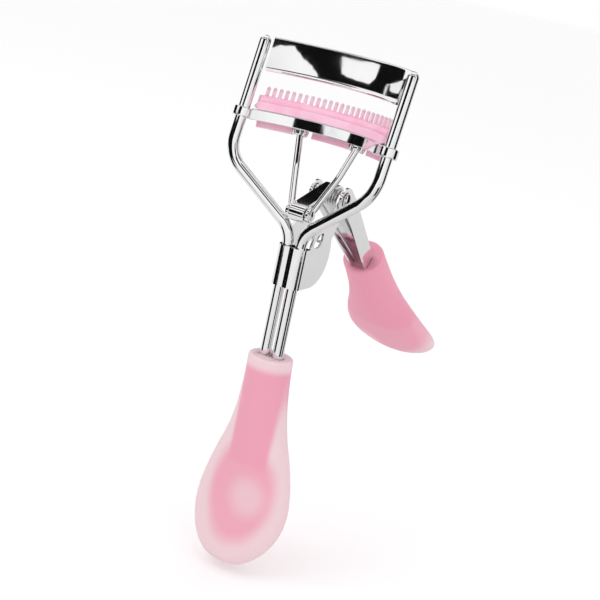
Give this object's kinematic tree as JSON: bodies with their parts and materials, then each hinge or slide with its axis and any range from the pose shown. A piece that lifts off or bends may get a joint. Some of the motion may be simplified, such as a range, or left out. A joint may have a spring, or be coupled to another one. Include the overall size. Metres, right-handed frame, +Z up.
{
  "type": "eyelash curler",
  "caption": "Hand-held eyelash curler: wire frame, curved plate, sliding padded bar with comb, and a sprung squeeze lever with a soft grip.",
  "frame": {"origin": "on the main handle's axis, where the middle fingers hold the main grip", "axes": "+Z up along the main handle to the head, +X across the head to the user's left as they face it, +Y away from the eye towards the squeeze lever"},
  "size_m": [0.038, 0.0757, 0.1099],
  "materials": {
    "chrome_wire": "polished",
    "chrome_sheet": "polished",
    "rivet_steel": "polished",
    "spring_steel": "satin",
    "grip_soft": "satin",
    "grip_core": "satin",
    "comb_plastic": "gloss",
    "pad_silicone": "satin"
  },
  "bodies": {
    "frame": {"frame_wire_left": "chrome_wire", "frame_wire_right": "chrome_wire", "upper_plate": "chrome_sheet", "collar_bracket": "chrome_sheet", "pivot_axle": "rivet_steel", "axle_washer_left": "rivet_steel", "axle_washer_right": "rivet_steel", "axle_bush": "rivet_steel", "handle_core": "grip_core", "handle_grip": "grip_soft"},
    "lever": {"lever_channel": "chrome_sheet", "lever_core": "grip_core", "lever_grip": "grip_soft", "return_spring": "spring_steel"},
    "bar": {"lower_bar": "chrome_sheet", "comb_clip": "comb_plastic", "lash_pad": "pad_silicone", "hinge_pin_left": "rivet_steel", "hinge_pin_right": "rivet_steel"},
    "yoke": {"yoke_wire_left": "chrome_wire", "yoke_wire_right": "chrome_wire", "link_pin": "rivet_steel"}
  },
  "joints": [
    {"name": "lever_hinge", "type": "hinge", "parent": "frame", "child": "lever", "pos_m": [0, 0.0111, 0.0562], "axis": [-1, 0, 0], "range_deg": [0, 24.6], "stiffness_Nm_per_rad": 0.15, "springref_deg": -20.05, "deforming": ["return_spring"]},
    {"name": "bar_slide", "type": "slide", "parent": "frame", "child": "bar", "axis": [0, 0.2227, 0.9749], "range_m": [0, 0.0047]},
    {"name": "yoke_swing", "type": "hinge", "parent": "bar", "child": "yoke", "pos_m": [0, 0.00493, 0.06828], "axis": [-1, 0, 0], "range_deg": [0, 4.8]}
  ],
  "couplings": [
    {"joint": "bar_slide", "follows": "lever_hinge", "m_per_rad": 0.010925},
    {"joint": "yoke_swing", "follows": "lever_hinge", "ratio": 0.1928}
  ]
}
